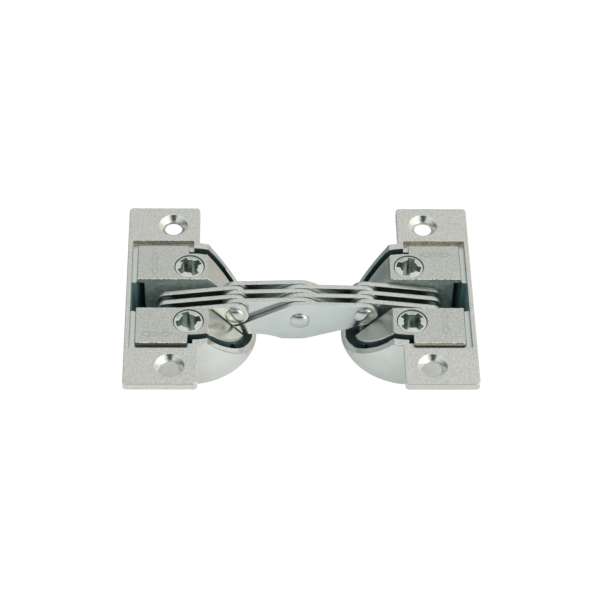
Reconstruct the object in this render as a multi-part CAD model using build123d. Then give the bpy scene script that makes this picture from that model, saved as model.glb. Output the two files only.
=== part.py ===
from build123d import *
import os
from math import asin, atan2, cos, degrees, hypot, radians, sin, sqrt, tan

# Concealed hinge with scissor links, lying flat and open, in millimetres.
# X runs across both halves, Y along the mounting plates, Z up to the plates' face.
# The origin is midway between the cups, at the level of their undersides.
# Every half is drawn on the side of negative X. The right half is then turned by
# 180 degrees about Z.

# Housing: mounting plate and cup
CUP_DIAMETER = 35.0
CUP_DEPTH = 15.5
CUP_X = 28.3
CUP_WALL = 2.2
NOSE_WALL = 1.0
CUP_FLOOR = 1.6
CUP_EDGE = 0.6
PLATE_OUTER_X = 44.0
PLATE_WIDTH = 18.4
PLATE_LENGTH = 59.0
PLATE_THICKNESS = 2.2
PLATE_CORNER = 1.0
EDGE_ROUND = 0.25
NOSE_X = 23.3
NOSE_ANGLE = 51.0

# Mounting holes
HOLE_SPACING = 47.0
HOLE_X = 32.5
HOLE_DIAMETER = 4.5
COUNTERSINK_DIAMETER = 7.4
COUNTERSINK_ANGLE = 90.0

# Recess for the wings of the carrier
OUTER_RIM = 1.2
RECESS_LENGTH = 35.8
RECESS_INNER_X = 27.0
RECESS_DEPTH = 1.4
RECESS_CORNER = 0.4

# Carrier
WING_OUTER_GAP = 1.4
WING_INNER_GAP = 1.25
WING_END_GAP = 1.55
WING_CORNER = 0.6
WING_SEAT_GAP = 0.05
BODY_SET_BACK = 1.9
BODY_GAP = 1.7
FLOOR_GAP = 0.3
WEB_THICKNESS = 1.2
SLOT_SIDE_GAP = 0.4

# Adjusting screws
SCREW_X = 28.1
SCREW_WALL = 0.62
SCREW_HEAD_DIAMETER = 7.6
SCREW_HEAD_DEPTH = 3.0
SCREW_SHANK_DIAMETER = 6.6
SCREW_EDGE = 0.3
DRIVE_DEPTH = 3.6
DRIVE_SPAN = 6.2
DRIVE_WIDTH = 1.7
DRIVE_CORE = 4.3
ADJUST_TRAVEL = 1.0
ADJUST_ANGLE = 45.0
STUB_DIAMETER = 3.0
STUB_CLEARANCE = 0.15
FLANGE_DIAMETER = 4.4
FLANGE_THICKNESS = 0.5
FLANGE_RELIEF = 0.8

# Degrees by which the drive of each adjusting screw has been turned
DRIVE_TURN = {"left_side": 17, "left_height": 33, "right_side": -17, "right_height": 45}

# Link plates
PLATES_PER_SET = 3
LINK_THICKNESS = 1.36
LINK_GAP = 0.1
LINK_CLEARANCE = 0.4
KNUCKLE_EYE = 3.45
ARM_EYE = 2.5
STRUT_EYE = 2.8
HUB_RADIUS = 6.55
HUB_DROP = 0.65
WAIST_RADIUS = 14.0
WAIST_X = 11.5
WAIST_DEPTH = 10.9
HEEL_RADIUS = 2.5
HEEL_X = 33.8
HEEL_DEPTH = 5.1

# Pivots, as distances from the middle and depths below the face
CENTRE_DEPTH = 5.6
KNUCKLE_X = 16.4
KNUCKLE_DEPTH = 3.7
ARM_PIN_X = 17.6
ARM_PIN_DEPTH = 10.2

# Pins, rivets and spacers
PIN_DIAMETER = 2.5
PIN_RECESS = 0.8
RIVET_DIAMETER = 3.0
RIVET_HEAD_DIAMETER = 5.0
RIVET_HEAD_HEIGHT = 1.1
RIVET_HEAD_RIM = 0.25
RUNNING_FIT = 0.04
PRESS_FIT = 0.02
SPACER_WALL = 0.9

# Worked out from the sizes above
FACE_Z = CUP_DEPTH
PLATE_INNER_X = PLATE_OUTER_X - PLATE_WIDTH
INSIDE_RADIUS = CUP_DIAMETER / 2 - CUP_WALL
INSIDE_X = CUP_X - (CUP_WALL - NOSE_WALL)
RECESS_OUTER_X = PLATE_OUTER_X - OUTER_RIM
WING_OUTER_X = RECESS_OUTER_X - WING_OUTER_GAP
WING_INNER_X = RECESS_INNER_X + WING_INNER_GAP
WING_LENGTH = RECESS_LENGTH - 2 * WING_END_GAP
BODY_OUTER_X = WING_OUTER_X - BODY_SET_BACK
BODY_RADIUS = INSIDE_RADIUS - BODY_GAP
BODY_BOTTOM_Z = CUP_FLOOR + FLOOR_GAP
LINK_PITCH = LINK_THICKNESS + LINK_GAP
STACK_WIDTH = 2 * PLATES_PER_SET * LINK_PITCH - LINK_GAP
SLOT_WIDTH = STACK_WIDTH + 2 * SLOT_SIDE_GAP
SCREW_Y = SLOT_WIDTH / 2 + SCREW_WALL + SCREW_HEAD_DIAMETER / 2
ECCENTRICITY = ADJUST_TRAVEL / sin(radians(ADJUST_ANGLE))

# Pivots in the XZ plane. The strut pin closes a parallelogram with the other three.
CENTRE = (0.0, FACE_Z - CENTRE_DEPTH)
LEFT_KNUCKLE = (-KNUCKLE_X, FACE_Z - KNUCKLE_DEPTH)
RIGHT_KNUCKLE = (KNUCKLE_X, FACE_Z - KNUCKLE_DEPTH)
ARM_PIN = (-ARM_PIN_X, FACE_Z - ARM_PIN_DEPTH)
STRUT_PIN = (
    ARM_PIN[0] + LEFT_KNUCKLE[0] - CENTRE[0],
    ARM_PIN[1] + LEFT_KNUCKLE[1] - CENTRE[1],
)
HUB = (CENTRE[0], CENTRE[1] - HUB_DROP)
HEEL = (-HEEL_X, FACE_Z - HEEL_DEPTH)


def turned(shape):
    """The same piece in the right half."""
    return Rot(0, 0, 180) * shape


def block(x_low, x_high, width, z_low, z_high):
    """A box between two X and two Z levels, centred on Y."""
    box = Box(x_high - x_low, width, z_high - z_low)
    return Pos((x_low + x_high) / 2, 0, (z_low + z_high) / 2) * box


def disc(radius, x, z_low, z_high):
    """An upright cylinder on the XZ plane."""
    base = (Align.CENTER, Align.CENTER, Align.MIN)
    return Pos(x, 0, z_low) * Cylinder(radius, z_high - z_low, align=base)


def cross_pin(radius, pivot, length):
    """A cylinder along Y, centred on the XZ plane."""
    return Pos(pivot[0], 0, pivot[1]) * Rot(90, 0, 0) * Cylinder(radius, length)


def spot(pivot, radius):
    """A circle of the link drawings."""
    return Pos(*pivot) * Circle(radius)


def hull(*circles):
    """The taut outline round some circles of the link drawings."""
    return make_hull(Sketch(children=circles).edges())


def nose_wedge():
    """All that lies above the sloping cut of the nose."""
    reach = PLATE_OUTER_X
    drop = reach * tan(radians(NOSE_ANGLE))
    outline = Polyline(
        (-NOSE_X, FACE_Z + reach),
        (-NOSE_X, FACE_Z),
        (-NOSE_X + reach, FACE_Z - drop),
        (-NOSE_X + reach, FACE_Z + reach),
        close=True,
    )
    return extrude(Plane.XZ * make_face(outline), amount=CUP_DIAMETER, both=True)


def screw_places():
    """Centre, and direction of the eccentric stub at rest, of each adjusting screw."""
    return {
        "side_screw": ((-SCREW_X, -SCREW_Y), (0, -1)),
        "height_screw": ((-SCREW_X, SCREW_Y), (-1, 0)),
    }


def stub_slot(centre, direction, diameter, z_low, z_high):
    """Slot in the cup's floor that lets a stub follow the other adjustment."""
    middle = [c + ECCENTRICITY * d for c, d in zip(centre, direction)]
    width = diameter + 2 * STUB_CLEARANCE
    travel = 2 * (ADJUST_TRAVEL + ECCENTRICITY * (1 - cos(radians(ADJUST_ANGLE))))
    angle = degrees(atan2(direction[1], direction[0]))
    outline = Pos(*middle) * Rot(0, 0, angle) * SlotCenterToCenter(travel, width)
    return Pos(0, 0, z_low) * extrude(outline, amount=z_high - z_low)


def countersunk_hole():
    """A mounting hole, as the solid to take away, from the plate's face down."""
    cone_depth = (COUNTERSINK_DIAMETER - HOLE_DIAMETER) / 2 / tan(radians(COUNTERSINK_ANGLE / 2))
    outline = Polyline(
        (0, 0),
        (COUNTERSINK_DIAMETER / 2, 0),
        (HOLE_DIAMETER / 2, -cone_depth),
        (HOLE_DIAMETER / 2, -PLATE_THICKNESS),
        (0, -PLATE_THICKNESS),
        close=True,
    )
    return revolve(Plane.XZ * make_face(outline), Axis.Z)


def housing():
    """Mounting plate and cup in one casting."""
    plate = block(-PLATE_OUTER_X, -PLATE_INNER_X, PLATE_LENGTH, FACE_Z - PLATE_THICKNESS, FACE_Z)
    plate = fillet(plate.edges().filter_by(Axis.Z), PLATE_CORNER)
    plate = fillet(plate.edges().group_by(Axis.Z)[-1], EDGE_ROUND)
    cup = disc(CUP_DIAMETER / 2, -CUP_X, 0, FACE_Z)
    cup = fillet(cup.edges().group_by(Axis.Z)[-1], EDGE_ROUND)
    cup = fillet(cup.edges().group_by(Axis.Z)[0], CUP_EDGE)
    cup &= block(-PLATE_OUTER_X, 0, CUP_DIAMETER, 0, FACE_Z)
    below_face = FACE_Z - PLATE_THICKNESS / 2
    cup -= block(-PLATE_OUTER_X, -PLATE_INNER_X - PLATE_CORNER, CUP_DIAMETER, below_face, FACE_Z)
    body = plate + (cup - nose_wedge())

    inside = disc(INSIDE_RADIUS, -INSIDE_X, CUP_FLOOR, FACE_Z)
    inside &= block(-RECESS_OUTER_X, 0, CUP_DIAMETER, 0, FACE_Z)
    inside += block(-RECESS_OUTER_X, -INSIDE_X, SLOT_WIDTH, CUP_FLOOR, FACE_Z)
    recess = block(-RECESS_OUTER_X, -RECESS_INNER_X, RECESS_LENGTH, FACE_Z - RECESS_DEPTH, FACE_Z)
    recess = fillet(recess.edges().filter_by(Axis.Z), RECESS_CORNER)
    body -= inside + recess
    for y in (-HOLE_SPACING / 2, HOLE_SPACING / 2):
        body -= Pos(-HOLE_X, y, FACE_Z) * countersunk_hole()
    for centre, direction in screw_places().values():
        body -= stub_slot(centre, direction, STUB_DIAMETER, 0, CUP_FLOOR)
        body -= stub_slot(centre, direction, FLANGE_DIAMETER, 0, FLANGE_RELIEF)
    return body


def carrier():
    """Inner block: wings, two cheeks with the screw bores, a web below the links."""
    body = disc(BODY_RADIUS, -INSIDE_X, BODY_BOTTOM_Z, FACE_Z)
    body &= block(-BODY_OUTER_X, 0, CUP_DIAMETER, 0, FACE_Z)
    body -= nose_wedge()
    wing_z = FACE_Z - RECESS_DEPTH + WING_SEAT_GAP
    wings = block(-WING_OUTER_X, -WING_INNER_X, WING_LENGTH, wing_z, FACE_Z)
    body += fillet(wings.edges().filter_by(Axis.Z), WING_CORNER)

    web_z = BODY_BOTTOM_Z + WEB_THICKNESS
    body -= block(-WING_OUTER_X, 0, SLOT_WIDTH, web_z, FACE_Z)
    arm_room = ARM_PIN[0] - ARM_EYE - WEB_THICKNESS
    body -= block(arm_room, 0, SLOT_WIDTH, BODY_BOTTOM_Z, FACE_Z)
    head_z = FACE_Z - SCREW_HEAD_DEPTH
    for (x, y), _ in screw_places().values():
        body -= Pos(0, y, 0) * disc(SCREW_HEAD_DIAMETER / 2 + RUNNING_FIT, x, head_z, FACE_Z)
        body -= Pos(0, y, 0) * disc(SCREW_SHANK_DIAMETER / 2 + RUNNING_FIT, x, 0, FACE_Z)
    for pivot in (ARM_PIN, STRUT_PIN):
        body -= cross_pin(PIN_DIAMETER / 2 + PRESS_FIT, pivot, CUP_DIAMETER)
    return body


def pin_length(pivot):
    """Pins end a little inside the curved sides of the carrier."""
    return 2 * (sqrt(BODY_RADIUS**2 - (pivot[0] + INSIDE_X) ** 2) - PIN_RECESS)


def adjusting_screw(name, turn):
    """Eccentric screw: flush head, shank, stub in the cup's floor, peened flange."""
    (x, y), (dx, dy) = screw_places()[name]
    head_z = FACE_Z - SCREW_HEAD_DEPTH + RUNNING_FIT
    head = disc(SCREW_HEAD_DIAMETER / 2, 0, head_z, FACE_Z)
    head = fillet(head.edges().sort_by(Axis.Z)[-1], SCREW_EDGE)
    shank = disc(SCREW_SHANK_DIAMETER / 2, 0, BODY_BOTTOM_Z, head_z)
    flange_z = FLANGE_RELIEF - STUB_CLEARANCE
    stub = disc(STUB_DIAMETER / 2, 0, flange_z - FLANGE_THICKNESS, BODY_BOTTOM_Z)
    flange = disc(FLANGE_DIAMETER / 2, 0, flange_z - FLANGE_THICKNESS, flange_z)
    foot = Pos(ECCENTRICITY * dx, ECCENTRICITY * dy, 0) * (stub + flange)

    cross = Rectangle(DRIVE_SPAN, DRIVE_WIDTH) + Rectangle(DRIVE_WIDTH, DRIVE_SPAN)
    drive = extrude(cross + Circle(DRIVE_CORE / 2), amount=-DRIVE_DEPTH)
    drive = Pos(0, 0, FACE_Z) * Rot(0, 0, turn) * drive
    return Pos(x, y, 0) * (head + shank + foot - drive)


def arm_outline():
    """Left arm: knuckle eye on the right, hub at the centre, eye in the left carrier."""
    beyond = spot(LEFT_KNUCKLE, KNUCKLE_EYE + LINK_CLEARANCE)
    gap = hypot(HUB[0] - LEFT_KNUCKLE[0], HUB[1] - LEFT_KNUCKLE[1])
    line = asin((HUB_RADIUS + KNUCKLE_EYE + LINK_CLEARANCE) / gap)
    line += atan2(HUB[1] - LEFT_KNUCKLE[1], HUB[0] - LEFT_KNUCKLE[0])
    touch = (HUB[0] - HUB_RADIUS * sin(line), HUB[1] + HUB_RADIUS * cos(line))
    above = Pos(*touch) * Rot(0, 0, degrees(line)) * Rectangle(
        2 * KNUCKLE_X, KNUCKLE_X, align=(Align.MAX, Align.MIN)
    )
    waist = spot((-WAIST_X, FACE_Z - WAIST_DEPTH - WAIST_RADIUS), WAIST_RADIUS)
    tail = hull(spot(HUB, HUB_RADIUS), spot(ARM_PIN, ARM_EYE)) - above - beyond - waist
    head = hull(spot(HUB, HUB_RADIUS), spot(RIGHT_KNUCKLE, KNUCKLE_EYE))
    outline = head + tail + spot(ARM_PIN, ARM_EYE)
    outline -= spot(ARM_PIN, PIN_DIAMETER / 2 + RUNNING_FIT)
    for pivot in (CENTRE, RIGHT_KNUCKLE):
        outline -= spot(pivot, RIVET_DIAMETER / 2 + RUNNING_FIT)
    return outline


def strut_outline():
    """Left strut: from its pin in the left carrier up to the left knuckle."""
    outline = hull(
        spot(LEFT_KNUCKLE, KNUCKLE_EYE), spot(HEEL, HEEL_RADIUS), spot(STRUT_PIN, STRUT_EYE)
    )
    outline -= spot(ARM_PIN, ARM_EYE + LINK_CLEARANCE)
    outline -= spot(STRUT_PIN, PIN_DIAMETER / 2 + RUNNING_FIT)
    return outline - spot(LEFT_KNUCKLE, RIVET_DIAMETER / 2 + RUNNING_FIT)


def layer_front(layer):
    """Y of the front face of a layer of the stack, counted from the back."""
    return STACK_WIDTH / 2 - layer * LINK_PITCH - LINK_THICKNESS


def plate_of(outline, layer):
    """A stamped plate in one layer of the stack."""
    plane = Plane(origin=(0, layer_front(layer), 0), x_dir=(1, 0, 0), z_dir=(0, -1, 0))
    return extrude(plane * outline, amount=-LINK_THICKNESS)


def spacers(pivot):
    """Washers on a carrier pin, in the layers that the left half's plates leave free."""
    ring = spot(pivot, PIN_DIAMETER / 2 + SPACER_WALL) - spot(pivot, PIN_DIAMETER / 2 + PRESS_FIT)
    return Compound([plate_of(ring, 2 * index) for index in range(PLATES_PER_SET)])


def rivet(pivot):
    """Rivet through the whole stack, with a dome head at each end."""
    seat = STACK_WIDTH / 2 + RUNNING_FIT
    head = RIVET_HEAD_DIAMETER / 2
    rim = seat + RIVET_HEAD_RIM
    crown = seat + RIVET_HEAD_HEIGHT
    ball = (head**2 + (crown - rim) ** 2) / (2 * (crown - rim))
    turn = asin(head / ball) / 2
    shoulder = (ball * sin(turn), crown - ball * (1 - cos(turn)))
    shank = RIVET_DIAMETER / 2
    edges = Polyline((0, crown), (0, 0), (shank, 0), (shank, seat), (head, seat), (head, rim))
    edges += ThreePointArc((head, rim), shoulder, (0, crown))
    end = revolve(make_face(edges.edges()), Axis.Y)
    return Pos(pivot[0], 0, pivot[1]) * (end + Rot(180, 0, 0) * end)


def half(side):
    """Every piece of a half by name, drawn on the left."""
    pieces = {"housing": housing(), "carrier": carrier()}
    for name in screw_places():
        pieces[name] = adjusting_screw(name, DRIVE_TURN[f"{side}_{name.removesuffix('_screw')}"])
    for index, place in enumerate(("back", "middle", "front")):
        pieces["arm_" + place] = plate_of(arm_outline(), 2 * index + 1)
        pieces["strut_" + place] = plate_of(strut_outline(), 2 * index + 1)
    for name, pivot in (("arm", ARM_PIN), ("strut", STRUT_PIN)):
        pieces[name + "_pin"] = cross_pin(PIN_DIAMETER / 2, pivot, pin_length(pivot))
        pieces[name + "_spacers"] = spacers(pivot)
    pieces["knuckle_rivet"] = rivet(LEFT_KNUCKLE)
    return pieces


nodes = {"centre_rivet": rivet(CENTRE)}
for name, piece in half("left").items():
    nodes["left_" + name] = piece
for name, piece in half("right").items():
    for old, new in (("back", "front"), ("front", "back")):
        if name.endswith(old):
            name = name.replace(old, new)
            break
    nodes["right_" + name] = turned(piece)

os.makedirs("parts", exist_ok=True)
for name, piece in nodes.items():
    export_step(piece, f"parts/{name}.step")
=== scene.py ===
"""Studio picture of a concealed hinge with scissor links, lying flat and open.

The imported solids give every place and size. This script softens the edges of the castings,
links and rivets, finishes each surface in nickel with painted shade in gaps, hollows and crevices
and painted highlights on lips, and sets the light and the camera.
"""

from __future__ import annotations

import logging
import math
from dataclasses import dataclass, field, replace
from enum import Enum
from typing import Callable

import bmesh
import bpy
from mathutils import Matrix, Vector

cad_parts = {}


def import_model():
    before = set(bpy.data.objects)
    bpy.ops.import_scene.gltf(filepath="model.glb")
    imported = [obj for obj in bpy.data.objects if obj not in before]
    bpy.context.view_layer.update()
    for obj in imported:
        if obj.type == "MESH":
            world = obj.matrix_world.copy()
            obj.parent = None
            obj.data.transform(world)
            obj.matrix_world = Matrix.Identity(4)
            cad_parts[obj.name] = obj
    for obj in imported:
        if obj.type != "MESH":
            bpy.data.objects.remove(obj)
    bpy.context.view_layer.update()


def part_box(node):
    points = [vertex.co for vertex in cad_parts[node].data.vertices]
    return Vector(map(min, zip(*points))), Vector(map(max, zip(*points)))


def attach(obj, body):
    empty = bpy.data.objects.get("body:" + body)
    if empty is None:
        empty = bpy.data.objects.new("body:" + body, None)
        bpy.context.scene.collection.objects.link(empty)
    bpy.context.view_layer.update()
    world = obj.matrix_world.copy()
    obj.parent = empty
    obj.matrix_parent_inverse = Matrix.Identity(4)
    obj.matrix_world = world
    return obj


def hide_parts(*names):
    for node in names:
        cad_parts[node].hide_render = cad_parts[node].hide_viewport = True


LOG = logging.getLogger("hinge_scene")
MM = 0.001
HALVES = ("left", "right")
PLATE_PLACES = ("back", "middle", "front")

# Lengths below which points, or levels, count as the same
SLIVER = 0.006 * MM
HAIR = 0.02 * MM
MERGE = 0.03 * MM
TOUCH = 0.1 * MM

# Angles up to which faces count as flat or smooth, and the cosine for edges in line
FLAT = math.radians(0.4)
SMOOTH = math.radians(32.0)
STRAIGHT = math.cos(math.radians(0.5))

# Share of a face's normal along an axis, from hardly any to square on
SIDEWAYS = 0.15
LEANING = 0.2
TILTED = 0.3
SLANTED = 0.4
HALFWAY = 0.5
FACING = 0.9
SQUARE = 0.97

# Noise of the grain and of the clouds, and the plating's tint where a cloud is thickest
NOISE_MIDDLE = 0.5
GRAIN_DETAIL = 3.0
GRAIN_ROUGHNESS = 0.6
SPECKLE_REACH = 4.0
CLOUD_DETAIL = 2.0
CLOUD_TINT = (1.0, 0.985, 0.95, 1.0)

Colour = tuple[float, float, float]
Way = tuple[float, float, float]
FaceRule = Callable[[Vector, Vector], bool]
PointRule = Callable[[Vector], bool]


class Lamp(Enum):
    """The lamps of the studio, by what they do."""

    OVERHEAD = "overhead_softbox"
    RIGHT = "right_softbox"
    RIGHT_FRONT = "right_front_lamp"


class Along(Enum):
    """The way that an adjusting arrow points on its wing, as its turn in degrees."""

    X = 0.0
    Y = 90.0


@dataclass(frozen=True)
class Nickel:
    """A nickel finish: its colour, its gloss and the texture under the plating.

    Attributes:
        name: Name of the material.
        colour: Base colour of the plating, linear.
        roughness: Mean roughness.
        roughness_spread: How far the roughness wanders with the clouds.
        grain_size: Size of the grain in metres.
        grain_depth: Height of the grain's bump in metres.
        speckle: How much lighter and darker the grain's points are.
        cloud_size: Size of the soft clouds in the plating in metres.
        stretch: How much longer the grain is along X than across it.
        metallic: 1 for clean plating, less where it is dull and on the finishes with painted shade.
    """

    name: str
    colour: Colour
    roughness: float
    roughness_spread: float
    grain_size: float
    grain_depth: float
    speckle: float
    cloud_size: float
    stretch: float = 1.0
    metallic: float = 1.0

    def material(self, grain: bpy.types.NodeTree, clouds: bpy.types.NodeTree) -> bpy.types.Material:
        """Make the material.

        Args:
            grain: Node group of the grain.
            clouds: Node group of the clouds in the plating.

        Returns:
            The finished material.
        """
        made = bpy.data.materials.new(self.name)
        made.use_nodes = True
        tree = made.node_tree
        shader = tree.nodes["Principled BSDF"]
        shader.inputs["Metallic"].default_value = self.metallic
        place = tree.nodes.new("ShaderNodeTexCoord")
        drawn = tree.nodes.new("ShaderNodeMapping")
        drawn.inputs["Scale"].default_value = (1.0 / self.stretch, 1.0, 1.0)
        tree.links.new(place.outputs["Object"], drawn.inputs["Vector"])

        cloud = tree.nodes.new("ShaderNodeGroup")
        cloud.node_tree = clouds
        cloud.inputs["Scale"].default_value = 1.0 / self.cloud_size
        cloud.inputs["Colour"].default_value = (*self.colour, 1.0)
        cloud.inputs["Roughness"].default_value = self.roughness
        cloud.inputs["Spread"].default_value = self.roughness_spread
        tree.links.new(place.outputs["Object"], cloud.inputs["Vector"])

        sand = tree.nodes.new("ShaderNodeGroup")
        sand.node_tree = grain
        sand.inputs["Scale"].default_value = 1.0 / self.grain_size
        sand.inputs["Speckle"].default_value = self.speckle
        tree.links.new(drawn.outputs["Vector"], sand.inputs["Vector"])
        tree.links.new(cloud.outputs["Colour"], sand.inputs["Colour"])

        bump = tree.nodes.new("ShaderNodeBump")
        bump.inputs["Strength"].default_value = 1.0
        bump.inputs["Distance"].default_value = self.grain_depth
        tree.links.new(sand.outputs["Height"], bump.inputs["Height"])
        tree.links.new(sand.outputs["Colour"], shader.inputs["Base Color"])
        tree.links.new(cloud.outputs["Roughness"], shader.inputs["Roughness"])
        tree.links.new(bump.outputs["Normal"], shader.inputs["Normal"])
        return made


CAST_FACE = Nickel(
    name="cast_face_nickel", colour=(0.535, 0.530, 0.495), roughness=0.45, roughness_spread=0.06,
    grain_size=0.38 * MM, grain_depth=0.08 * MM, speckle=0.30, cloud_size=6.0 * MM,
)
CAST_WING = replace(CAST_FACE, name="cast_wing_nickel", colour=(0.475, 0.478, 0.442))
CAST_EDGE = replace(
    CAST_FACE, name="cast_edge_nickel", colour=(0.710, 0.710, 0.675), roughness=0.36,
    grain_depth=0.04 * MM, speckle=0.15,
)
RECESS_FLOOR = replace(CAST_EDGE, name="recess_floor_nickel", colour=(0.545, 0.555, 0.525))
CAST_SMOOTH = Nickel(
    name="cast_smooth_nickel", colour=(0.645, 0.655, 0.620), roughness=0.30, roughness_spread=0.08,
    grain_size=2.2 * MM, grain_depth=0.03 * MM, speckle=0.05, cloud_size=5.0 * MM,
)
CUP_WALL = replace(
    CAST_SMOOTH, name="cup_wall_nickel", colour=(0.745, 0.765, 0.750), roughness=0.19,
    grain_size=5.0 * MM, grain_depth=0.06 * MM, cloud_size=7.0 * MM,
)
# Near-black painted shade for the inner wall of the cup and the carriers' sides, standing in for the shade
# in the gaps and hollows
CAST_PAINTED_SHADE = Nickel(
    name="cast_inside_painted_shade_nickel", colour=(0.080, 0.145, 0.152), roughness=0.50, roughness_spread=0.10,
    grain_size=0.6 * MM, grain_depth=0.04 * MM, speckle=0.15, cloud_size=4.0 * MM, metallic=0.5,
)
PIT_WALL = replace(
    CAST_PAINTED_SHADE, name="pit_wall_nickel", colour=(0.33, 0.53, 0.53), roughness=0.45, speckle=0.20,
)
SLOT_WALL = replace(
    CAST_PAINTED_SHADE, name="slot_wall_nickel", colour=(0.40, 0.48, 0.465), roughness=0.48,
    grain_size=1.2 * MM, grain_depth=0.06 * MM, speckle=0.35, metallic=0.35,
)
CAST_RAGGED = Nickel(
    name="cast_parting_nickel", colour=(0.66, 0.61, 0.51), roughness=0.45, roughness_spread=0.15,
    grain_size=0.36 * MM, grain_depth=0.25 * MM, speckle=0.85, cloud_size=2.0 * MM,
)
# Ragged casting lips on the slot and the wings' fronts, made pale as a painted highlight along the edge
LIP_RAGGED_HIGHLIGHT = replace(
    CAST_RAGGED, name="lip_ragged_highlight_nickel", colour=(0.72, 0.69, 0.62), roughness=0.40,
    grain_size=0.5 * MM, grain_depth=0.3 * MM, speckle=1.10,
)
# One ragged wing end in two copies: a shaded one for the left half (painted shade) and a lit one for the
# right half (painted light)
WING_END_SHADED = replace(
    CAST_RAGGED, name="wing_end_painted_shade_nickel", colour=(0.25, 0.26, 0.235),
    grain_size=0.4 * MM, grain_depth=0.12 * MM, speckle=0.50,
)
WING_END_LIT = replace(
    WING_END_SHADED, name="wing_end_painted_light_nickel", colour=(0.92, 0.87, 0.76), roughness=0.36, speckle=0.40,
)
# Near-black painted shade at the foot of a wing's end wall, deep in its gap
CREVICE_PAINTED_SHADE = Nickel(
    name="wing_crevice_painted_shade_nickel", colour=(0.065, 0.065, 0.055), roughness=0.50, roughness_spread=0.10,
    grain_size=0.4 * MM, grain_depth=0.04 * MM, speckle=0.30, cloud_size=2.0 * MM, metallic=0.6,
)
# Dark painted shade on the rounding that borders a wing, as the shadow line of the gap beside it
WING_LINE_PAINTED_SHADE = replace(
    CREVICE_PAINTED_SHADE, name="wing_line_painted_shade_nickel", colour=(0.24, 0.25, 0.235), roughness=0.45,
    grain_depth=0.06 * MM, cloud_size=3.0 * MM, metallic=1.0,
)
LINK_SHEET = Nickel(
    name="link_sheet_nickel", colour=(0.705, 0.760, 0.755), roughness=0.20, roughness_spread=0.12,
    grain_size=3.0 * MM, grain_depth=0.02 * MM, speckle=0.06, cloud_size=7.0 * MM, stretch=3.0,
)
LINK_EDGE = Nickel(
    name="link_edge_nickel", colour=(0.50, 0.510, 0.480), roughness=0.34, roughness_spread=0.12,
    grain_size=0.4 * MM, grain_depth=0.06 * MM, speckle=0.30, cloud_size=2.0 * MM,
)
CONE = Nickel(
    name="countersink_nickel", colour=(0.68, 0.685, 0.640), roughness=0.20, roughness_spread=0.04,
    grain_size=0.8 * MM, grain_depth=0.008 * MM, speckle=0.04, cloud_size=3.0 * MM,
)
RIVET_HEAD = replace(
    CONE, name="rivet_nickel", colour=(0.65, 0.685, 0.670), roughness=0.15, roughness_spread=0.05,
    grain_depth=0.004 * MM, speckle=0.02,
)
SCREW_HEAD = replace(
    RIVET_HEAD, name="screw_nickel", colour=(0.515, 0.540, 0.515), roughness=0.19, speckle=0.03,
)
# Darker than the head: painted shade down in the drive's recess
SCREW_DRIVE_SHADE = Nickel(
    name="screw_drive_painted_shade_nickel", colour=(0.46, 0.51, 0.49), roughness=0.17, roughness_spread=0.06,
    grain_size=0.7 * MM, grain_depth=0.01 * MM, speckle=0.10, cloud_size=2.0 * MM, metallic=0.85,
)
ARROW_LINE = Nickel(
    name="arrow_line_nickel", colour=(0.35, 0.35, 0.33), roughness=0.40, roughness_spread=0.05,
    grain_size=0.3 * MM, grain_depth=0.01 * MM, speckle=0.10, cloud_size=2.0 * MM,
)
# Plain steel for pins and spacers, darkened further as painted shade in the gaps where they sit
SPACER_STEEL_SHADE = replace(
    ARROW_LINE, name="spacer_steel", colour=(0.24, 0.30, 0.30),
    grain_size=0.6 * MM, grain_depth=0.004 * MM, speckle=0.05,
)
FINISHES = (
    CAST_FACE, CAST_WING, CAST_EDGE, RECESS_FLOOR, CAST_SMOOTH, CUP_WALL, CAST_PAINTED_SHADE, PIT_WALL, SLOT_WALL,
    CAST_RAGGED, LIP_RAGGED_HIGHLIGHT, WING_END_SHADED, WING_END_LIT, CREVICE_PAINTED_SHADE, WING_LINE_PAINTED_SHADE, LINK_SHEET, LINK_EDGE,
    CONE, RIVET_HEAD, SCREW_HEAD, SCREW_DRIVE_SHADE, ARROW_LINE, SPACER_STEEL_SHADE,
)
# Painted shade on the left wing ends, painted light on the right
WING_END_LIGHTING = {"left": WING_END_SHADED, "right": WING_END_LIT}


def group_socket(tree: bpy.types.NodeTree, name: str, into: bool, kind: str) -> None:
    """Add a named socket to a node group.

    Args:
        tree: The group.
        name: The socket's name.
        into: True for an input, False for an output.
        kind: Socket class without its prefix, such as Float.
    """
    tree.interface.new_socket(name, in_out="INPUT" if into else "OUTPUT", socket_type="NodeSocket" + kind)


def maths(tree: bpy.types.NodeTree, operation: str,
          *values: bpy.types.NodeSocket | float) -> bpy.types.NodeSocket:
    """Add a Math node.

    Args:
        tree: Node tree that takes it.
        operation: Blender's name of the operation.
        values: Sockets to link, or numbers to set, in order.

    Returns:
        The node's result.
    """
    node = tree.nodes.new("ShaderNodeMath")
    node.operation = operation
    for index, value in enumerate(values):
        if isinstance(value, (int, float)):
            node.inputs[index].default_value = value
        else:
            tree.links.new(value, node.inputs[index])
    return node.outputs[0]


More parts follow.
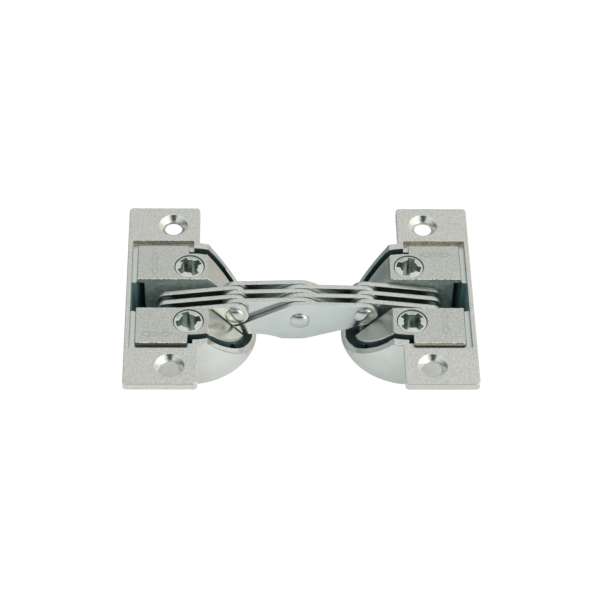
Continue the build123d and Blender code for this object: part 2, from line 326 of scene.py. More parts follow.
def casting_grain() -> bpy.types.NodeTree:
    """Node group of the fine sandy grain of a casting.

    Returns:
        The group, with a speckled colour and a height.
    """
    tree = bpy.data.node_groups.new("CastingGrain", "ShaderNodeTree")
    for name, kind in (("Vector", "Vector"), ("Scale", "Float"), ("Speckle", "Float"), ("Colour", "Color")):
        group_socket(tree, name, True, kind)
    group_socket(tree, "Colour", False, "Color")
    group_socket(tree, "Height", False, "Float")
    entry = tree.nodes.new("NodeGroupInput")
    leave = tree.nodes.new("NodeGroupOutput")
    noise = tree.nodes.new("ShaderNodeTexNoise")
    noise.inputs["Detail"].default_value = GRAIN_DETAIL
    noise.inputs["Roughness"].default_value = GRAIN_ROUGHNESS
    tree.links.new(entry.outputs["Vector"], noise.inputs["Vector"])
    tree.links.new(entry.outputs["Scale"], noise.inputs["Scale"])

    swing = maths(tree, "SUBTRACT", noise.outputs["Fac"], NOISE_MIDDLE)
    reach = maths(tree, "MULTIPLY", entry.outputs["Speckle"], SPECKLE_REACH)
    shade = maths(tree, "MULTIPLY_ADD", swing, reach, 1.0)
    tint = tree.nodes.new("ShaderNodeVectorMath")
    tint.operation = "SCALE"
    tree.links.new(entry.outputs["Colour"], tint.inputs[0])
    tree.links.new(shade, tint.inputs["Scale"])
    tree.links.new(tint.outputs[0], leave.inputs["Colour"])
    tree.links.new(noise.outputs["Fac"], leave.inputs["Height"])
    return tree


def plating_clouds() -> bpy.types.NodeTree:
    """Node group of the soft clouds in nickel plating.

    Returns:
        The group, with a colour and a roughness.
    """
    tree = bpy.data.node_groups.new("PlatingClouds", "ShaderNodeTree")
    for name, kind in (("Vector", "Vector"), ("Scale", "Float"), ("Colour", "Color"),
                       ("Roughness", "Float"), ("Spread", "Float")):
        group_socket(tree, name, True, kind)
    group_socket(tree, "Colour", False, "Color")
    group_socket(tree, "Roughness", False, "Float")
    entry = tree.nodes.new("NodeGroupInput")
    leave = tree.nodes.new("NodeGroupOutput")
    noise = tree.nodes.new("ShaderNodeTexNoise")
    noise.inputs["Detail"].default_value = CLOUD_DETAIL
    tree.links.new(entry.outputs["Vector"], noise.inputs["Vector"])
    tree.links.new(entry.outputs["Scale"], noise.inputs["Scale"])

    swing = maths(tree, "SUBTRACT", noise.outputs["Fac"], NOISE_MIDDLE)
    wander = maths(tree, "MULTIPLY_ADD", swing, entry.outputs["Spread"], entry.outputs["Roughness"])
    tree.links.new(wander, leave.inputs["Roughness"])
    warm = tree.nodes.new("ShaderNodeMix")
    warm.data_type = "RGBA"
    warm.blend_type = "MULTIPLY"
    warm.inputs["B"].default_value = CLOUD_TINT
    tree.links.new(noise.outputs["Fac"], warm.inputs["Factor"])
    tree.links.new(entry.outputs["Colour"], warm.inputs["A"])
    tree.links.new(warm.outputs["Result"], leave.inputs["Colour"])
    return tree


class FinishShop:
    """Makes the materials of the hinge, each once."""

    def __init__(self) -> None:
        """Make the shared node groups and every material."""
        grain, clouds = casting_grain(), plating_clouds()
        self.made = {finish: finish.material(grain, clouds) for finish in FINISHES}

    def coat(self, piece: bpy.types.Object, finish: Nickel, *others: tuple[Nickel, FaceRule]) -> None:
        """Give a piece its finish, and other finishes where their rules say so.

        Args:
            piece: The piece.
            finish: The finish of most faces.
            others: Further finishes, each with a rule on a face's centre and normal. The first rule that
                holds is taken.
        """
        piece.data.materials.append(self.made[finish])
        for other, _ in others:
            piece.data.materials.append(self.made[other])
        for face in piece.data.polygons:
            for index, (_, rule) in enumerate(others, start=1):
                if rule(face.center, face.normal):
                    face.material_index = index
                    break


def deselect_all() -> None:
    """Leave nothing selected, so that an operator acts only on what comes next."""
    if bpy.context.mode != "OBJECT":
        bpy.ops.object.mode_set(mode="OBJECT")
    bpy.ops.object.select_all(action="DESELECT")


def take_up(piece: bpy.types.Object) -> None:
    """Make a piece the only selected and the active object."""
    deselect_all()
    piece.select_set(True)
    bpy.context.view_layer.objects.active = piece


@dataclass(frozen=True)
class Softening:
    """Rounds sharp edges of a solid's copy, as tumbling and plating do.

    Attributes:
        width: Width of the rounding in metres.
        zone: Says whether a corner lies where edges are rounded.
        segments: Steps across the rounding.
        sharp: Angle in radians from which an edge counts as sharp.
    """

    width: float
    zone: PointRule = lambda corner: True
    segments: int = 2
    sharp: float = SMOOTH

    def work(self, piece: bpy.types.Object) -> None:
        """Round the sharp edges inside the zone.

        Args:
            piece: The piece, active and in edit mode.
        """
        bpy.ops.mesh.select_mode(type="EDGE")
        bpy.ops.mesh.select_all(action="DESELECT")
        shape = bmesh.from_edit_mesh(piece.data)
        for edge in shape.edges:
            if len(edge.link_faces) == 2 and edge.calc_face_angle() > self.sharp:
                edge.select = all(self.zone(corner.co) for corner in edge.verts)
        bmesh.update_edit_mesh(piece.data)
        bpy.ops.mesh.bevel(offset=self.width, segments=self.segments, affect="EDGES", clamp_overlap=False,
                           loop_slide=False)


def clear_slivers(piece: bpy.types.Object) -> None:
    """Merge the faces of no size that roundings leave where they meet, and points on straight edges.

    Args:
        piece: The piece, active and in edit mode.
    """
    bpy.ops.mesh.select_all(action="SELECT")
    bpy.ops.mesh.remove_doubles(threshold=SLIVER)
    bpy.ops.mesh.dissolve_degenerate(threshold=SLIVER)
    bpy.ops.mesh.select_mode(type="VERT")
    bpy.ops.mesh.select_all(action="DESELECT")
    shape = bmesh.from_edit_mesh(piece.data)
    spare = 0
    for corner in shape.verts:
        ways = [(edge.other_vert(corner).co - corner.co).normalized() for edge in corner.link_edges]
        if len(ways) == 2 and ways[0].dot(ways[1]) < -STRAIGHT:
            corner.select = True
            spare += 1
    bmesh.update_edit_mesh(piece.data)
    if spare:
        bpy.ops.mesh.dissolve_verts()


def softened(node: str, name: str, *roundings: Softening) -> bpy.types.Object:
    """Copy a solid, merge its loose triangles and round its edges.

    Args:
        node: The CAD node to copy.
        name: Name of the new piece.
        roundings: The roundings, in order.

    Returns:
        The new piece, with its place in its mesh.
    """
    piece = bpy.data.objects.new(name, bpy.data.objects[node].data.copy())
    bpy.context.scene.collection.objects.link(piece)
    piece.data.materials.clear()
    take_up(piece)
    bpy.ops.mesh.customdata_custom_splitnormals_clear()
    bpy.ops.object.mode_set(mode="EDIT")
    bpy.ops.mesh.select_all(action="SELECT")
    bpy.ops.mesh.remove_doubles(threshold=MERGE)
    bpy.ops.mesh.dissolve_limited(angle_limit=FLAT)
    for rounding in roundings:
        rounding.work(piece)
    clear_slivers(piece)
    bpy.ops.object.mode_set(mode="OBJECT")
    bpy.ops.object.shade_smooth_by_angle(angle=SMOOTH)
    flats = piece.modifiers.new("flat_faces", "WEIGHTED_NORMAL")
    flats.keep_sharp = True
    bpy.ops.object.modifier_apply(modifier=flats.name)
    return piece


def settle(piece: bpy.types.Object, body: str) -> None:
    """Let a piece move with its body.

    Args:
        piece: The new piece.
        body: The body that it rides on.
    """
    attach(piece, body)
    LOG.info("%s: %d faces on %s", piece.name, len(piece.data.polygons), body)


def hand_over(piece: bpy.types.Object, node: str, body: str) -> None:
    """Let a piece stand for its solid and move with its body.

    Args:
        piece: The new piece.
        node: The CAD node that it replaces.
        body: The body that it rides on.
    """
    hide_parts(node)
    settle(piece, body)


@dataclass
class Castings:
    """The two housings and the two carriers, cast in zinc and plated."""

    shop: FinishShop
    face_z: float
    # Widths of the roundings
    edge: float = 0.13 * MM
    rim_edge: float = 0.30 * MM
    wing_edge: float = 0.20 * MM
    slope_edge: float = 0.40 * MM
    # Where edges are rounded
    plate_zone_x: float = 26.3 * MM
    nose_zone_x: float = 22.6 * MM
    softened_above: float = 3.4 * MM
    slope_x: float = 23.4 * MM
    slope_y: float = 5.2 * MM
    pin_place: tuple[float, float] = (17.6 * MM, 5.3 * MM)
    pin_clear: float = 1.6 * MM
    # A housing's plate, holes, recess and cup
    plate_thickness: float = 2.2 * MM
    inner_x: float = 25.4 * MM
    hole_x: float = 32.5 * MM
    hole_y: float = 23.5 * MM
    cone_radius: float = 3.6 * MM
    recess_depth: float = 1.4 * MM
    recess_half_length: float = 17.9 * MM
    recess_x: tuple[float, float] = (26.9 * MM, 42.9 * MM)
    pit_x: float = 39.6 * MM
    body_x: float = 27.1 * MM
    inside_radius: float = 15.7 * MM
    floor_z: float = 1.7 * MM
    # A carrier's wings and slot
    wing_end: float = 16.35 * MM
    wing_outer: float = 41.4 * MM
    crevice_depth: float = 0.95 * MM
    slot_half_width: float = 4.73 * MM
    # Slack on either side of a wall or a level
    skin: float = 0.3 * MM

    @property
    def plate_foot(self) -> float:
        """Level just under the mounting plate."""
        return self.face_z - self.plate_thickness - self.skin

    def is_face(self, centre: Vector, normal: Vector) -> bool:
        """Whether a housing's face has the sanded look of the plate."""
        return self.is_plate(centre, normal) and abs(normal.z) > FACING

    def is_plate(self, centre: Vector, normal: Vector) -> bool:
        """Whether a housing's face belongs to the mounting plate."""
        return abs(centre.x) > self.inner_x and centre.z > self.plate_foot

    def in_plate(self, corner: Vector) -> bool:
        """Whether a corner lies on the plate, clear of the cup's nose."""
        return abs(corner.x) > self.plate_zone_x and corner.z > self.plate_foot

    def in_nose(self, corner: Vector) -> bool:
        """Whether a corner lies on the sloping rim of the nose."""
        return abs(corner.x) < self.nose_zone_x and corner.z > self.softened_above

    def in_carrier_nose(self, corner: Vector) -> bool:
        """Whether a corner lies on the outer edge of the carrier's slope, clear of the pin's bore."""
        at_edge = abs(corner.x) < self.slope_x and abs(corner.y) > self.slope_y
        bore = math.hypot(abs(corner.x) - self.pin_place[0], corner.z - self.pin_place[1])
        return at_edge and corner.z > self.softened_above and bore > self.pin_clear

    def in_carrier_top(self, corner: Vector) -> bool:
        """Whether a corner lies on the rest of the carrier's upper edges."""
        beyond = abs(corner.x) > self.slope_x + self.skin or abs(corner.y) < self.slope_y
        return beyond and corner.z > self.softened_above

    def is_recess_end(self, centre: Vector, normal: Vector) -> bool:
        """Whether a housing's face is an end wall of the recess."""
        within = self.recess_x[0] < abs(centre.x) < self.recess_x[1]
        high = self.face_z - self.recess_depth < centre.z < self.face_z - HAIR
        at_end = abs(abs(centre.y) - self.recess_half_length) < self.skin
        return within and high and at_end and abs(normal.y) > SLANTED

    def is_pit(self, centre: Vector, normal: Vector) -> bool:
        """Whether a housing's face lies in the pit at the slot's outer end."""
        beyond = self.pit_x < abs(centre.x) < self.recess_x[1] and abs(centre.y) < 2 * self.slot_half_width
        deep = centre.z < self.face_z - self.recess_depth - TOUCH
        return beyond and deep and normal.z > -HALFWAY

    def is_shaded_inside_cup(self, centre: Vector, normal: Vector) -> bool:
        """Whether a housing's face is inside the cup, where painted shade darkens it."""
        middle = Vector((math.copysign(self.body_x, centre.x), 0.0, centre.z))
        away = centre - middle
        deep = self.floor_z - self.skin < centre.z < self.face_z - self.recess_depth - TOUCH
        return deep and away.length < self.inside_radius and (normal.dot(away) < 0.0 or normal.z > FACING)

    def is_cone(self, centre: Vector, normal: Vector) -> bool:
        """Whether a housing's face lies in a countersink or its hole."""
        away = Vector((abs(centre.x) - self.hole_x, abs(centre.y) - self.hole_y))
        return away.length < self.cone_radius and abs(normal.z) < FACING

    def is_recess_floor(self, centre: Vector, normal: Vector) -> bool:
        """Whether a housing's face is the floor of the recess under the wings."""
        low = centre.z < self.face_z - self.recess_depth / 2
        return low and normal.z > FACING and self.is_plate(centre, normal)

    def is_wing_top(self, centre: Vector, normal: Vector) -> bool:
        """Whether a carrier's face has the sanded look of the wings."""
        return centre.z > self.face_z - self.skin and normal.z > TILTED

    def is_slot_lip(self, centre: Vector, normal: Vector) -> bool:
        """Whether a carrier's face lies on the ragged lip of the slot, which takes a painted highlight."""
        at_slot = abs(abs(centre.y) - self.slot_half_width) < self.skin
        return at_slot and centre.z > self.face_z - self.skin and TILTED < abs(normal.y) < SQUARE

    def is_shaded_wing_line(self, centre: Vector, normal: Vector) -> bool:
        """Whether a carrier's face lies on the rounding that borders a wing, darkened as a painted shade
        line along the gap beside it.
        """
        at_side = abs(centre.x) > self.wing_outer - self.skin
        outward = at_side and normal.x * centre.x > LEANING * abs(centre.x)
        back = normal.y > LEANING and centre.y > self.wing_end - self.skin
        return centre.z > self.face_z - self.skin and normal.z < SQUARE and (outward or back)

    def is_wing_end(self, centre: Vector, normal: Vector) -> bool:
        """Whether a carrier's face is the end wall of a wing."""
        return abs(centre.y) > self.wing_end - self.skin and abs(normal.y) > HALFWAY

    def is_shaded_crevice(self, centre: Vector, normal: Vector) -> bool:
        """Whether a carrier's face is the foot of a wing's end wall, deep in its gap, which takes painted
        shade.
        """
        return self.is_wing_end(centre, normal) and centre.z < self.face_z - self.crevice_depth

    def is_wing_lip(self, centre: Vector, normal: Vector) -> bool:
        """Whether a carrier's face lies on the ragged front rounding of a wing, which takes a painted
        highlight.
        """
        at_front = centre.y < self.skin - self.wing_end and normal.y < -LEANING
        return at_front and centre.z > self.face_z - self.skin and normal.z > LEANING

    def is_slot_wall(self, centre: Vector, normal: Vector) -> bool:
        """Whether a carrier's face is a wall of the slot for the links."""
        return abs(abs(centre.y) - self.slot_half_width) < self.skin and abs(normal.y) > FACING

    def is_shaded_carrier_side(self, centre: Vector, normal: Vector) -> bool:
        """Whether a carrier's face looks sideways or down, into the gaps, where painted shade darkens it.
        """
        return normal.z < SIDEWAYS

    def cut_level(self, piece: bpy.types.Object, level: float) -> None:
        """Cut a piece's faces all round at one height, so that they can take two finishes, such as the
        painted shade at the foot of a wing's end wall.

        Args:
            piece: The piece.
            level: The height in metres.
        """
        take_up(piece)
        bpy.ops.object.mode_set(mode="EDIT")
        bpy.ops.mesh.select_all(action="SELECT")
        bpy.ops.mesh.bisect(plane_co=(0.0, 0.0, level), plane_no=(0.0, 0.0, 1.0))
        bpy.ops.object.mode_set(mode="OBJECT")

    def build(self) -> None:
        """Make and dress the housings and carriers."""
        for half in HALVES:
            housing = softened(f"{half}_housing", f"{half}_housing_casting",
                               Softening(self.edge, self.in_plate), Softening(self.rim_edge, self.in_nose))
            # Painted shade darkens the inside of the cup
            self.shop.coat(housing, CUP_WALL, (CAST_RAGGED, self.is_recess_end), (PIT_WALL, self.is_pit),
                           (CAST_PAINTED_SHADE, self.is_shaded_inside_cup), (CONE, self.is_cone),
                           (RECESS_FLOOR, self.is_recess_floor), (CAST_FACE, self.is_face),
                           (CAST_EDGE, self.is_plate))
            hand_over(housing, f"{half}_housing", f"{half}_housing")
            carrier = softened(f"{half}_carrier", f"{half}_carrier_casting",
                               Softening(self.slope_edge, self.in_carrier_nose),
                               Softening(self.wing_edge, self.in_carrier_top))
            self.cut_level(carrier, self.face_z - self.crevice_depth)
            # Painted shade on the carriers' sides, crevices, wing lines and left wing ends; painted light
            # on the right wing ends; painted highlights on the ragged lips
            self.shop.coat(carrier, CAST_SMOOTH, (LIP_RAGGED_HIGHLIGHT, self.is_slot_lip),
                           (LIP_RAGGED_HIGHLIGHT, self.is_wing_lip), (WING_LINE_PAINTED_SHADE, self.is_shaded_wing_line),
                           (CAST_WING, self.is_wing_top), (CREVICE_PAINTED_SHADE, self.is_shaded_crevice),
                           (WING_END_LIGHTING[half], self.is_wing_end), (SLOT_WALL, self.is_slot_wall),
                           (CAST_PAINTED_SHADE, self.is_shaded_carrier_side))
            hand_over(carrier, f"{half}_carrier", f"{half}_carrier")


@dataclass
class AdjustingArrows:
    """The shallow double arrows that show which way each screw moves its half."""

    shop: FinishShop
    face_z: float
    length: float = 8.3 * MM
    head_width: float = 2.2 * MM
    head_length: float = 2.4 * MM
    shaft_width: float = 0.9 * MM
    line: float = 0.16 * MM
    height: float = 0.02 * MM
    sunk: float = 0.15 * MM
    places: dict[str, tuple[float, float, Along]] = field(default_factory=lambda: {
        "left_back": (-37.0 * MM, 9.9 * MM, Along.Y),
        "left_front": (-36.0 * MM, -13.4 * MM, Along.X),
        "right_back": (35.2 * MM, 13.2 * MM, Along.X),
        "right_front": (36.4 * MM, -9.6 * MM, Along.Y),
    })

    def build(self) -> None:
        """Make the four arrows and set them into the wings."""
        for place, (x, y, along) in self.places.items():
            arrow = self.arrow(f"{place}_arrow")
            arrow.matrix_world = Matrix.Translation((x, y, self.face_z)) @ Matrix.Rotation(
                math.radians(along.value), 4, "Z")
            take_up(arrow)
            bpy.ops.object.transform_apply(location=True, rotation=True, scale=True)
            self.shop.coat(arrow, ARROW_LINE)
            half = place.split("_")[0]
            settle(arrow, f"{half}_carrier")

    def arrow(self, name: str) -> bpy.types.Object:
        """One double arrow as a fine raised outline, along X at the origin.

        Args:
            name: Name of the piece.

        Returns:
            The arrow.
        """
        deselect_all()
        bpy.ops.mesh.primitive_plane_add(size=1.0)
        piece = bpy.context.object
        piece.name = name
        shaft = self.length - 2 * self.head_length
        piece.scale = (shaft, self.shaft_width, 1.0)
        bpy.ops.object.transform_apply(location=False, rotation=False, scale=True)
        bpy.ops.object.mode_set(mode="EDIT")
        for side in (1.0, -1.0):
            self.head(piece, side, shaft / 2)
        bpy.ops.mesh.select_all(action="SELECT")
        bpy.ops.mesh.remove_doubles(threshold=SLIVER)
        bpy.ops.mesh.dissolve_faces()
        bpy.ops.mesh.inset(thickness=self.line, use_boundary=True)
        bpy.ops.mesh.delete(type="FACE")
        bpy.ops.mesh.select_all(action="SELECT")
        bpy.ops.transform.translate(value=(0.0, 0.0, self.height))
        bpy.ops.mesh.extrude_region_move(TRANSFORM_OT_translate={"value": (0.0, 0.0, -self.sunk)})
        bpy.ops.mesh.select_all(action="SELECT")
        bpy.ops.mesh.normals_make_consistent(inside=False)
        bpy.ops.object.mode_set(mode="OBJECT")
        return piece

    def head(self, piece: bpy.types.Object, side: float, end: float) -> None:
        """Extrude one arrow head from an end of the shaft.

        Args:
            piece: The arrow in edit mode.
            side: 1 for the head on +X, -1 for the other.
            end: Distance of the shaft's end from the middle.
        """
        bpy.ops.mesh.select_mode(type="EDGE")
        bpy.ops.mesh.select_all(action="DESELECT")
        shape = bmesh.from_edit_mesh(piece.data)
        for edge in shape.edges:
            if all(abs(corner.co.x - side * end) < SLIVER for corner in edge.verts):
                edge.select = True
        bmesh.update_edit_mesh(piece.data)
        bpy.ops.mesh.extrude_region_move()
        bpy.ops.transform.resize(value=(1.0, self.head_width / self.shaft_width, 1.0),
                                 center_override=(side * end, 0.0, 0.0))
        tip = (side * self.head_length, 0.0, 0.0)
        bpy.ops.mesh.extrude_region_move(TRANSFORM_OT_translate={"value": tip})
        bpy.ops.mesh.merge(type="CENTER")


@dataclass
class Linkage:
    """The stamped arms and struts with their rivets, pins and spacers."""

    shop: FinishShop
    sheet_edge: float = 0.16 * MM
    turned_edge: float = 0.06 * MM
    rivet_bodies: dict[str, str] = field(default_factory=lambda: {
        "centre_rivet": "left_arm",
        "right_knuckle_rivet": "left_arm",
        "left_knuckle_rivet": "right_arm",
    })

    def build(self) -> None:
        """Make and dress every plate, rivet, pin and spacer."""
        for half in HALVES:
            for kind in ("arm", "strut"):
                for place in PLATE_PLACES:
                    self.plate(f"{half}_{kind}_{place}", f"{half}_{kind}")
                self.turned(f"{half}_{kind}_pin", f"{half}_carrier", SPACER_STEEL_SHADE)
                self.turned(f"{half}_{kind}_spacers", f"{half}_carrier", SPACER_STEEL_SHADE)
        for node, body in self.rivet_bodies.items():
            self.turned(node, body, RIVET_HEAD)

    def is_cut_edge(self, centre: Vector, normal: Vector) -> bool:
        """Whether a plate's face lies on its stamped edge."""
        return abs(normal.y) < FACING

    def plate(self, node: str, body: str) -> None:
        """One stamped plate with its edges rounded."""
        piece = softened(node, f"{node}_sheet", Softening(self.sheet_edge))
        self.shop.coat(piece, LINK_SHEET, (LINK_EDGE, self.is_cut_edge))
        hand_over(piece, node, body)

    def turned(self, node: str, body: str, finish: Nickel) -> None:
        """One small turned piece."""
        piece = softened(node, f"{node}_turned", Softening(self.turned_edge))
        self.shop.coat(piece, finish)
        hand_over(piece, node, body)


@dataclass
class AdjustingScrews:
    """The four eccentric screws in the carriers' wings."""

    shop: FinishShop
    face_z: float
    edge: float = 0.10 * MM
    rim_radius: float = 3.3 * MM
    place: tuple[float, float] = (28.1 * MM, 9.15 * MM)
    drive_lip: float = 0.70 * MM
    crown_radius: float = 2.2 * MM
    crown_depth: float = 0.40 * MM
    crown_slope: float = 0.16
    crown_cuts: int = 3
    bodies: dict[str, str] = field(default_factory=lambda: {
        "left_side_screw": "left_side_screw",
        "left_height_screw": "left_carrier",
        "right_side_screw": "right_carrier",
        "right_height_screw": "right_height_screw",
    })

    def out_from(self, corner: Vector) -> float:
        """How far a corner lies from the screw's axis."""
        return math.hypot(abs(corner.x) - self.place[0], abs(corner.y) - self.place[1])

    def cone_head(self, piece: bpy.types.Object) -> None:
        """Let the head's top fall towards its rim, as a shallow cone.

        Args:
            piece: The screw, in its place.
        """
        take_up(piece)
        bpy.ops.object.mode_set(mode="EDIT")
        bpy.ops.mesh.select_mode(type="FACE")
        bpy.ops.mesh.select_all(action="DESELECT")
        shape = bmesh.from_edit_mesh(piece.data)
        for face in shape.faces:
            face.select = face.normal.z > FACING and face.calc_center_median().z > self.face_z - TOUCH
        bmesh.update_edit_mesh(piece.data)
        bpy.ops.mesh.quads_convert_to_tris(quad_method="BEAUTY", ngon_method="BEAUTY")
        bpy.ops.mesh.subdivide(number_cuts=self.crown_cuts)
        shape = bmesh.from_edit_mesh(piece.data)
        for corner in shape.verts:
            if corner.co.z > self.face_z - self.crown_depth:
                corner.co.z -= self.crown_slope * max(0.0, self.out_from(corner.co) - self.crown_radius)
        bmesh.update_edit_mesh(piece.data)
        bpy.ops.object.mode_set(mode="OBJECT")
        bpy.ops.object.shade_smooth_by_angle(angle=SMOOTH)

    def in_drive(self, corner: Vector) -> bool:
        """Whether a corner lies on the drive's edge in the top face."""
        return corner.z > self.face_z - TOUCH and self.out_from(corner) < self.rim_radius

    def is_drive(self, centre: Vector, normal: Vector) -> bool:
        """Whether a face lies down in the drive or on the shank, darkened as painted shade in the recess.
        """
        return centre.z < self.face_z - self.drive_lip

    def build(self) -> None:
        """Make and dress the screws."""
        for node, body in self.bodies.items():
            piece = softened(node, f"{node}_turned", Softening(self.edge, self.in_drive))
            self.cone_head(piece)
            self.shop.coat(piece, SCREW_HEAD, (SCREW_DRIVE_SHADE, self.is_drive))
            hand_over(piece, node, body)


@dataclass(frozen=True)
class Softbox:
    """A square area lamp that looks at the middle of the hinge.

    Attributes:
        place: Where it stands, in metres.
        size: Length of its side in metres.
        power: Its power in watts.
        colour: Colour of its light.
    """

    place: Way
    size: float
    power: float
    colour: Colour = (1.0, 1.0, 1.0)


SOFTBOXES = {
    Lamp.OVERHEAD: Softbox(place=(0.0, 0.35, 0.9), size=1.1, power=0.7),
    Lamp.RIGHT: Softbox(place=(1.1, -0.1, 0.8), size=1.8, power=5.0),
    Lamp.RIGHT_FRONT: Softbox(place=(0.78, -0.60, 0.10), size=0.9, power=2.6, colour=(1.0, 0.86, 0.69)),
}


@dataclass
class Studio:
    """Floor, light and camera of the picture."""

    face_z: float
    # Camera, as fitted to the photograph
    focal_px: float = 2227.1
    frame_px: float = 600.0
    centre_px: tuple[float, float] = (299.89, 293.31)
    distance: float = 0.56463
    elevation: float = math.radians(48.998)
    yaw: float = math.radians(2.332)
    roll: float = math.radians(1.86)
    sensor: float = 36.0
    near: float = 10.0 * MM
    # Floor: its white, and the paper that the hinge mirrors, with painted light on the left and painted
    # shade on the right and behind
    floor_size: float = 6.0
    floor_roughness: float = 0.25
    white_share: float = 0.94
    white_strength: float = 1.08
    shiny_share: float = 0.16
    paper_lit_left: Colour = (0.98, 0.97, 0.95)
    paper_shaded_right: Colour = (0.84, 0.88, 0.87)
    paper_reach: tuple[float, float] = (-40.0 * MM, 40.0 * MM)
    paper_shaded_back: Colour = (0.15, 0.18, 0.18)
    back_towards: Way = (-0.37, 0.93, 0.0)
    back_reach: tuple[float, float] = (12.0 * MM, 44.0 * MM)
    # Light tent: its colours, and where each begins and is full
    tent_shiny_share: float = 0.05
    tent_top: Colour = (0.93, 0.98, 1.0)
    top_reach: tuple[float, float] = (0.18, 0.66)
    tent_right: Colour = (1.05, 0.96, 0.85)
    tent_left: Colour = (0.08, 0.13, 0.13)
    side_reach: tuple[float, float] = (-0.7, 0.7)
    tent_front: Colour = (0.08, 0.12, 0.12)
    front_towards: Way = (-0.26, -0.966, 0.0)
    front_reach: tuple[float, float] = (0.60, 0.92)
    tent_opening: Colour = (0.01, 0.04, 0.04)
    opening_towards: Way = (-0.027, -0.656, 0.755)
    opening_reach: tuple[float, float] = (0.930, 0.962)

    def build(self) -> None:
        """Set the floor, the light and the camera."""
        bpy.context.scene.view_settings.view_transform = "Standard"
        self.floor()
        self.world()
        self.lamps()
        self.camera()

    def floor(self) -> None:
        """A large pale floor that shows white and keeps a faint shadow. The paper that the hinge mirrors
        has painted light on the left and painted shade on the right and behind.
        """
        deselect_all()
        bpy.ops.mesh.primitive_plane_add(size=self.floor_size, location=(0.0, 0.0, -HAIR))
        plane = bpy.context.object
        plane.name = "floor"
        made = bpy.data.materials.new("floor_white")
        made.use_nodes = True
        tree = made.node_tree
        paper = tree.nodes["Principled BSDF"]
        place = tree.nodes.new("ShaderNodeTexCoord")
        apart = tree.nodes.new("ShaderNodeSeparateXYZ")
        tree.links.new(place.outputs["Object"], apart.inputs[0])
        # The paper's painted light and shade: lighter on the left, darker on the right, near-black towards
        # the back
        across = self.ramp(tree, apart.outputs["X"], *self.paper_reach)
        back = self.towards(tree, place.outputs["Object"], self.back_towards, *self.back_reach)
        front = self.blend(tree, across, self.paper_lit_left, self.paper_shaded_right)
        tree.links.new(self.blend(tree, back, front, self.paper_shaded_back), paper.inputs["Base Color"])
        paper.inputs["Roughness"].default_value = self.floor_roughness
        glow = tree.nodes.new("ShaderNodeEmission")
        glow.inputs["Strength"].default_value = self.white_strength
        path = tree.nodes.new("ShaderNodeLightPath")
        seen = maths(tree, "MAXIMUM", path.outputs["Is Camera Ray"], path.outputs["Is Transmission Ray"])
        shiny = maths(tree, "MULTIPLY", path.outputs["Is Glossy Ray"], self.shiny_share)
        share = maths(tree, "MAXIMUM", maths(tree, "MULTIPLY", seen, self.white_share), shiny)
        mix = tree.nodes.new("ShaderNodeMixShader")
        tree.links.new(share, mix.inputs["Fac"])
        tree.links.new(paper.outputs[0], mix.inputs[1])
        tree.links.new(glow.outputs[0], mix.inputs[2])
        tree.links.new(mix.outputs[0], tree.nodes["Material Output"].inputs["Surface"])
        plane.data.materials.append(made)

    def ramp(self, tree: bpy.types.NodeTree, value: bpy.types.NodeSocket, low: float,
             high: float) -> bpy.types.NodeSocket:
        """A smooth step from 0 to 1 between two values.

        Args:
            tree: Node tree that takes it.
            value: The socket that is followed.
            low: Value that gives 0.
            high: Value that gives 1.

        Returns:
            The step.
        """
        node = tree.nodes.new("ShaderNodeMapRange")
        node.interpolation_type = "SMOOTHSTEP"
        node.inputs["From Min"].default_value = low
        node.inputs["From Max"].default_value = high
        tree.links.new(value, node.inputs["Value"])
        return node.outputs["Result"]

    def towards(self, tree: bpy.types.NodeTree, place: bpy.types.NodeSocket,
                direction: Way, low: float, high: float) -> bpy.types.NodeSocket:
        """A smooth step along a direction.

        Args:
            tree: Node tree that takes it.
            place: The place or the direction that is looked at.
            direction: The direction in which the step rises.
            low: Length along it that gives 0.
            high: Length along it that gives 1.

        Returns:
            The step.
        """
        along = tree.nodes.new("ShaderNodeVectorMath")
        along.operation = "DOT_PRODUCT"
        along.inputs[1].default_value = direction
        tree.links.new(place, along.inputs[0])
        return self.ramp(tree, along.outputs["Value"], low, high)

    def blend(self, tree: bpy.types.NodeTree, factor: bpy.types.NodeSocket,
              first: bpy.types.NodeSocket | Colour, second: Colour) -> bpy.types.NodeSocket:
        """A blend of two colours.

        Args:
            tree: Node tree that takes it.
            factor: 0 for the first colour, 1 for the second.
            first: The first colour, fixed or from a socket.
            second: The second colour.

        Returns:
            The blended colour.
        """
        node = tree.nodes.new("ShaderNodeMix")
        node.data_type = "RGBA"
        tree.links.new(factor, node.inputs["Factor"])
        if isinstance(first, tuple):
            node.inputs["A"].default_value = (*first, 1.0)
        else:
            tree.links.new(first, node.inputs["A"])
        node.inputs["B"].default_value = (*second, 1.0)
        return node.outputs["Result"]

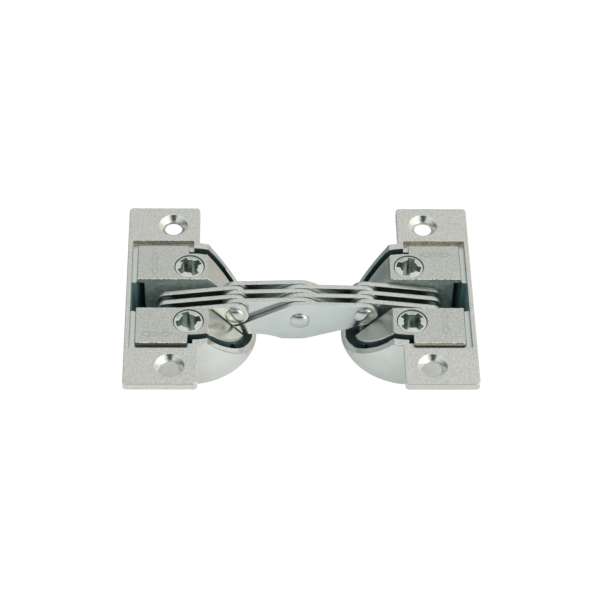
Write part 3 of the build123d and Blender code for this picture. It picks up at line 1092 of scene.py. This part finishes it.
    def world(self) -> None:
        """A light tent, bright above and on the right, dark elsewhere and at its opening.

        The camera sees it white.
        """
        world = bpy.data.worlds.new("light_tent")
        bpy.context.scene.world = world
        world.use_nodes = True
        tree = world.node_tree
        tent = tree.nodes["Background"]
        tent.inputs["Strength"].default_value = 1.0
        place = tree.nodes.new("ShaderNodeTexCoord")
        apart = tree.nodes.new("ShaderNodeSeparateXYZ")
        tree.links.new(place.outputs["Generated"], apart.inputs[0])
        across = self.ramp(tree, apart.outputs["X"], *self.side_reach)
        above = self.ramp(tree, apart.outputs["Z"], *self.top_reach)
        ahead = self.towards(tree, place.outputs["Generated"], self.front_towards, *self.front_reach)
        sides = self.blend(tree, across, self.tent_left, self.tent_right)
        around = self.blend(tree, ahead, sides, self.tent_front)
        cover = self.blend(tree, above, around, self.tent_top)
        opening = self.towards(tree, place.outputs["Generated"], self.opening_towards, *self.opening_reach)
        tree.links.new(self.blend(tree, opening, cover, self.tent_opening), tent.inputs["Color"])
        white = tree.nodes.new("ShaderNodeBackground")
        path = tree.nodes.new("ShaderNodeLightPath")
        seen = maths(tree, "MAXIMUM", path.outputs["Is Camera Ray"], path.outputs["Is Transmission Ray"])
        shiny = maths(tree, "MULTIPLY", path.outputs["Is Glossy Ray"], self.tent_shiny_share)
        mix = tree.nodes.new("ShaderNodeMixShader")
        tree.links.new(maths(tree, "MAXIMUM", seen, shiny), mix.inputs["Fac"])
        tree.links.new(tent.outputs[0], mix.inputs[1])
        tree.links.new(white.outputs[0], mix.inputs[2])
        tree.links.new(mix.outputs[0], tree.nodes["World Output"].inputs["Surface"])

    def lamps(self) -> None:
        """A softbox overhead, one on the right and a low warm lamp at the right front."""
        aim = Vector((0.0, 0.0, self.face_z))
        for kind, box in SOFTBOXES.items():
            lamp = bpy.data.lights.new(kind.value, "AREA")
            lamp.size = box.size
            lamp.energy = box.power
            lamp.color = box.colour
            holder = bpy.data.objects.new(kind.value, lamp)
            holder.location = box.place
            holder.rotation_euler = (aim - Vector(box.place)).to_track_quat("-Z", "Y").to_euler()
            bpy.context.scene.collection.objects.link(holder)

    def camera(self) -> None:
        """The photograph's viewpoint, as fitted to the plates and cups."""
        yaw_cos, yaw_sin = math.cos(self.yaw), math.sin(self.yaw)
        level, drop = math.cos(self.elevation), math.sin(self.elevation)
        right = Vector((yaw_cos, -yaw_sin, 0.0))
        up = Vector((yaw_sin * drop, yaw_cos * drop, level))
        ahead = Vector((yaw_sin * level, yaw_cos * level, -drop))
        roll_cos, roll_sin = math.cos(self.roll), math.sin(self.roll)
        right, up = roll_cos * right + roll_sin * up, roll_cos * up - roll_sin * right
        lens = bpy.data.cameras.new("photo_camera")
        lens.sensor_width = self.sensor
        lens.lens = self.focal_px / self.frame_px * self.sensor
        lens.shift_x = (self.frame_px / 2 - self.centre_px[0]) / self.frame_px
        lens.shift_y = (self.centre_px[1] - self.frame_px / 2) / self.frame_px
        lens.clip_start = self.near
        stand = bpy.data.objects.new("photo_camera", lens)
        place = Vector((0.0, 0.0, self.face_z)) - self.distance * ahead
        turn = Matrix((right, up, -ahead)).transposed().to_4x4()
        stand.matrix_world = Matrix.Translation(place) @ turn
        bpy.context.scene.collection.objects.link(stand)
        bpy.context.scene.camera = stand


def main() -> None:
    """Build the hinge's pieces in order, then the studio."""
    logging.basicConfig(level=logging.INFO, format="%(name)s %(message)s")
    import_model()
    face_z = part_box("left_housing")[1].z
    shop = FinishShop()
    Castings(shop, face_z).build()
    AdjustingArrows(shop, face_z).build()
    AdjustingScrews(shop, face_z).build()
    Linkage(shop).build()
    Studio(face_z).build()


if __name__ == "__main__":
    main()
